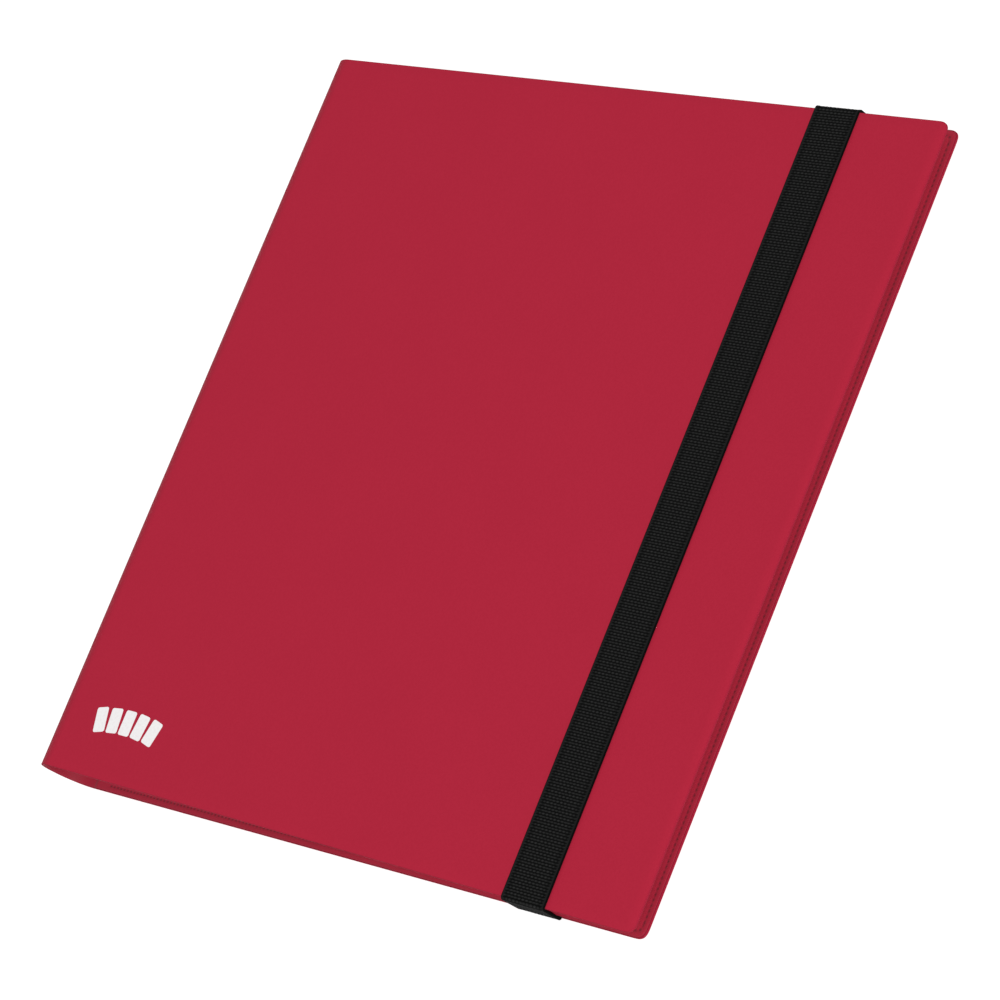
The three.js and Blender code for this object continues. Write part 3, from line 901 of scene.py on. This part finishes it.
def page_material():
    """Clear embossed film over a black core, with frosted weld seams between the pockets."""
    m = Shader("page_film_black", Specular_IOR_Level=0.5, Coat_Weight=0.25, Coat_Roughness=0.12)
    place = m.attribute("unrolled", "Vector")
    emboss = m.add("TexVoronoi", place, feature="F1")
    emboss.inputs["Scale"].default_value = 1 / EMBOSS_PITCH
    seam = m.math("SUBTRACT", 1.0, m.attribute("pocket"))
    film = m.attribute("film")
    hatch = woven(m, place, SEAM_HATCH)
    colour = m.mix(m.spread(m.noise(place, 40.0, 4.0), 0.35, 0.65), PAGE_BLACK, PAGE_SHEEN)
    colour = m.mix(m.math("MULTIPLY", seam, m.spread(hatch, 0.2, 0.9, 0.3, 1.0)), colour, SEAM_GREY)
    colour = m.mix(m.math("MULTIPLY", m.math("SUBTRACT", 1.0, film), 0.25), colour, PAGE_CORE)
    rough = m.math("ADD", m.spread(m.noise(place, 90.0, 4.0), 0.3, 0.7, 0.16, 0.3),
                   m.math("MULTIPLY", m.math("SUBTRACT", 1.0, film), 0.3))
    height = m.math("ADD", m.math("MULTIPLY", emboss.outputs["Distance"], film),
                    m.math("MULTIPLY", hatch, m.math("MULTIPLY", seam, 0.8)))
    return m.finish(colour, rough, m.bump(height, 0.03 * MM, 0.35))


def binding_material():
    """Black page stubs melted together, with fine scratches along the binding."""
    m = Shader("binding_black", Specular_IOR_Level=0.4)
    place = m.add("TexCoord").outputs["Object"]
    stretched = m.add("Mapping", place)
    stretched.inputs["Scale"].default_value = (1.0, 0.05, 1.0)
    scratch = m.noise(stretched.outputs[0], 3000.0, 3.0)
    colour = m.mix(m.spread(scratch, 0.35, 0.65), grey(0.008), grey(0.018))
    return m.finish(colour, m.spread(scratch, 0.3, 0.7, 0.45, 0.65), m.bump(scratch, 0.05 * MM, 0.4))


def board_material():
    """Grey pressed stiffening sheet, speckled."""
    m = Shader("cover_board_grey", Specular_IOR_Level=0.3)
    place = m.add("TexCoord").outputs["Object"]
    speck = m.spread(m.noise(place, 900.0, 5.0), 0.55, 0.7)
    colour = m.mix(speck, grey(0.038), grey(0.075))
    return m.finish(colour, m.spread(speck, 0.0, 1.0, 0.75, 0.6), m.bump(speck, 0.03 * MM, 0.3))


def ink_material():
    """Matt white screen print, slightly uneven over the grain."""
    m = Shader("white_print", Specular_IOR_Level=0.3)
    place = m.attribute("unrolled", "Vector")
    cover = m.spread(m.noise(place, 900.0, 4.0), 0.3, 0.55)
    colour = m.mix(cover, INK_THIN, INK_WHITE)
    return m.finish(colour, m.spread(cover, 0.0, 1.0, 0.6, 0.45), m.bump(cover, 0.01 * MM, 0.4))


# ---- stage ----------------------------------------------------------------------------------
def make_floor():
    """A wide pale floor just under the binder."""
    m = Shader("pale_floor", Roughness=0.9, Specular_IOR_Level=0.2, Emission_Strength=FLOOR_GLOW)
    m.surface.inputs["Emission Color"].default_value = grey(1.0)
    drift = m.noise(m.add("TexCoord").outputs["Object"], 4.0)
    material = m.finish(m.mix(drift, grey(0.69), grey(0.71)))
    half = 6.0
    points = [(-half, -half, 0), (half, -half, 0), (half, half, 0), (-half, half, 0)]
    mesh = bpy.data.meshes.new("floor")
    mesh.from_pydata(points, [], [(0, 1, 2, 3)])
    mesh.materials.append(material)
    floor = bpy.data.objects.new("floor", mesh)
    floor.location.z = cad_box[0].z - FLOOR_GAP
    bpy.context.scene.collection.objects.link(floor)


def make_light(name, place, aim, size, power):
    """A round soft lamp turned towards aim."""
    data = bpy.data.lights.new(name, "AREA")
    data.shape = "DISK"
    data.size = size
    data.energy = power
    lamp = bpy.data.objects.new(name, data)
    lamp.location = place
    lamp.rotation_mode = "QUATERNION"
    lamp.rotation_quaternion = (Vector(aim) - Vector(place)).to_track_quat("-Z", "Y")
    bpy.context.scene.collection.objects.link(lamp)


def make_world():
    """Even white light from all round, shown with plain colours."""
    world = bpy.data.worlds.new("studio")
    world.use_nodes = True
    background = world.node_tree.nodes["Background"]
    background.inputs["Color"].default_value = grey(1.0)
    background.inputs["Strength"].default_value = WORLD_STRENGTH
    bpy.context.scene.world = world
    bpy.context.scene.view_settings.view_transform = "Standard"


def towards_camera():
    """Unit vector from the binder to the camera."""
    azimuth, elevation = math.radians(CAMERA_AZIMUTH), math.radians(CAMERA_ELEVATION)
    return Vector((math.sin(azimuth) * math.cos(elevation), -math.cos(azimuth) * math.cos(elevation),
                   math.sin(elevation)))


def make_camera():
    """Looks down on the front cover from the free edge, turned so that the spine is at the left."""
    azimuth, roll = math.radians(CAMERA_AZIMUTH), math.radians(CAMERA_ROLL)
    back = towards_camera()
    level = Vector((math.cos(azimuth), math.sin(azimuth), 0))
    upright = back.cross(level)
    right = math.cos(roll) * level + math.sin(roll) * upright
    up = back.cross(right)
    data = bpy.data.cameras.new("camera")
    data.lens = CAMERA_LENS
    data.sensor_width = 36
    camera = bpy.data.objects.new("camera", data)
    turn = Matrix((right, up, back)).transposed().to_4x4()
    camera.matrix_world = Matrix.Translation(Vector(CAMERA_AIM) + CAMERA_DISTANCE * back) @ turn
    bpy.context.scene.collection.objects.link(camera)
    bpy.context.scene.camera = camera


# ---- assembly -------------------------------------------------------------------------------
make_camera()
make_world()
make_floor()
make_light("key", KEY_DISTANCE * towards_camera(), (0, 0, 0), KEY_SIZE, KEY_POWER)

skin = skin_material()
lining = lining_material()
make_skin("cover_sheet_back", BACK, skin, "back_skin", "back_fold", "spine_skin")
make_skin("cover_sheet_front", FRONT, skin, "front_skin", "front_fold")
make_lining("lining_back", BACK, lining, "back_liner")
make_lining("lining_front", FRONT, lining, "front_liner")

make_strap(strap_material())
film = page_material()
for page_name in PAGE_NAMES:
    make_page(page_name, film)
make_binding(binding_material())
make_print(ink_material())
board = board_material()
for node_name in ("back_board", "front_board"):
    node = frame["nodes"][node_name]
    node.data.materials.clear()
    node.data.materials.append(board)
